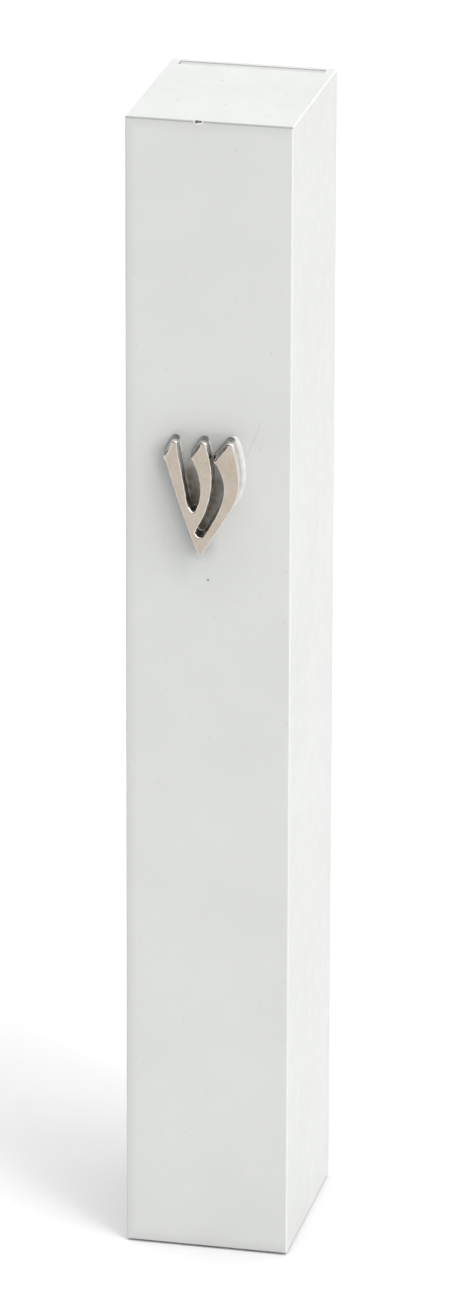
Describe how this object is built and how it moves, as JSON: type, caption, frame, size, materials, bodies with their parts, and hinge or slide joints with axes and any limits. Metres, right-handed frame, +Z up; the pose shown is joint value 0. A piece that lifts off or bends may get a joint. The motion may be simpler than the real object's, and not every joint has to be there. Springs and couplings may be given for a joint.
{
  "type": "mezuzah case",
  "caption": "Tall slender box-shaped case with a cast metal letter on its front; the cover slides up off a back plate that holds a rolled parchment.",
  "frame": {"origin": "on the surface that the case stands on, under the middle of the whole part's footprint, which runs from the letter's face to the back of the tape", "axes": "+Z up along the case, +X to the right seen from the front, -Y towards the front with the letter, +Y towards the doorpost"},
  "size_m": [0.021, 0.029, 0.15],
  "materials": {
    "cover_paint": "satin white paint on aluminium",
    "plate_paint": "matt white paint on aluminium",
    "letter_nickel": "nickel-plated zinc casting, flat face satin, edges bright",
    "clear_glue": "clear glue squeezed out round the letter",
    "moulded_plastic": "fine moulded texture, off-white",
    "screw_steel": "plain stainless steel",
    "tape_foam": "closed-cell foam, white",
    "parchment": "thin hide, pale, matt, no writing",
    "clear_film": "clear plastic film"
  },
  "bodies": {
    "back": {"back_plate": "plate_paint", "foot_block": "moulded_plastic", "stop_block": "moulded_plastic", "foot_screw_left": "screw_steel", "foot_screw_right": "screw_steel", "stop_screw_left": "screw_steel", "stop_screw_right": "screw_steel", "mounting_tape_upper": "tape_foam", "mounting_tape_lower": "tape_foam", "scroll_sleeve": "clear_film", "scroll": "parchment"},
    "cover": {"case_cover": "cover_paint", "shin_emblem": "letter_nickel", "emblem_adhesive": "clear_glue"}
  },
  "joints": [
    {"name": "cover_slide", "type": "slide", "parent": "back", "child": "cover", "axis": [0, 0, 1], "range_m": [0, 0.14]}
  ]
}
